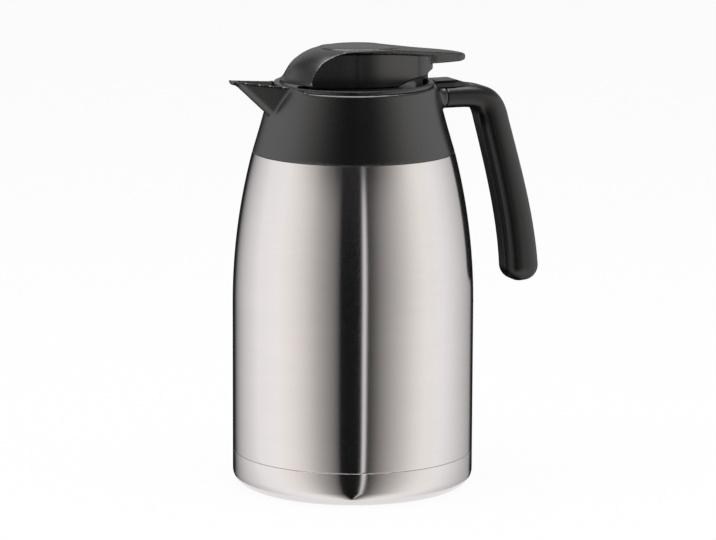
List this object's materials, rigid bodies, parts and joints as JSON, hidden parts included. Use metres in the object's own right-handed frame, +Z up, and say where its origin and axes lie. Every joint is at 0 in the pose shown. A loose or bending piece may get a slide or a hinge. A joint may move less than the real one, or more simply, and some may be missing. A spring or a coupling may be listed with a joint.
{
  "type": "thermal carafe",
  "caption": "Steel vacuum carafe with a black pouring collar, open-ended grip, screw-in stopper and press-lever lid that lifts a spring-closed valve.",
  "frame": {"origin": "on the steel body's axis, at the plane that the foot stands on", "axes": "+Z up along the body's axis, beak along -X, handle along +X"},
  "size_m": [0.181, 0.132, 0.2438],
  "materials": {
    "brushed_steel": "fine satin brushing round the body",
    "inner_steel": "drawn, electropolished",
    "braze": "melted braze",
    "copper_foil": "bright copper foil",
    "getter_metal": "sintered, matte",
    "black_plastic": "fine satin mould grain",
    "silicone": "soft silicone",
    "pin_steel": "bright drawn wire"
  },
  "bodies": {
    "carafe": {"outer_shell": "brushed_steel", "base_cup": "brushed_steel", "vessel_bottom": "inner_steel", "vacuum_plug": "braze", "inner_flask": "inner_steel", "flask_bottom": "inner_steel", "radiation_foil": "copper_foil", "getter": "getter_metal", "collar": "black_plastic", "neck_insert": "black_plastic", "collar_seal": "silicone", "handle": "black_plastic", "handle_cap": "black_plastic", "handle_screws": "pin_steel"},
    "gasket": {"stopper_seal": "silicone"},
    "stopper": {"stopper_body": "black_plastic", "valve_seat": "black_plastic", "hinge_pin": "pin_steel", "valve_spring": "pin_steel"},
    "valve": {"valve_stem": "black_plastic", "valve_seal": "silicone", "stem_pin": "pin_steel"},
    "lid": {"lid_cover": "black_plastic", "lid_fork": "black_plastic"}
  },
  "joints": [
    {"name": "stopper_rise", "type": "slide", "parent": "carafe", "child": "gasket", "axis": [0, 0, 1], "range_m": [0, 0.0481]},
    {"name": "stopper_turn", "type": "hinge", "parent": "gasket", "child": "stopper", "pos_m": [0, 0, 0.2], "axis": [0, 0, 1], "range_deg": [0, 1080]},
    {"name": "lid_hinge", "type": "hinge", "parent": "stopper", "child": "lid", "pos_m": [0.019, 0, 0.226], "axis": [0, 1, 0], "range_deg": [0, 11], "stiffness_Nm_per_rad": 0.6, "springref_deg": -14.32},
    {"name": "valve_lift", "type": "slide", "parent": "stopper", "child": "valve", "axis": [0, 0, 1], "range_m": [0, 0.0038], "deforming": ["valve_spring"]}
  ],
  "couplings": [
    {"joint": "stopper_rise", "follows": "stopper_turn", "m_per_rad": 0.0025465},
    {"joint": "valve_lift", "follows": "lid_hinge", "m_per_rad": 0.019}
  ]
}
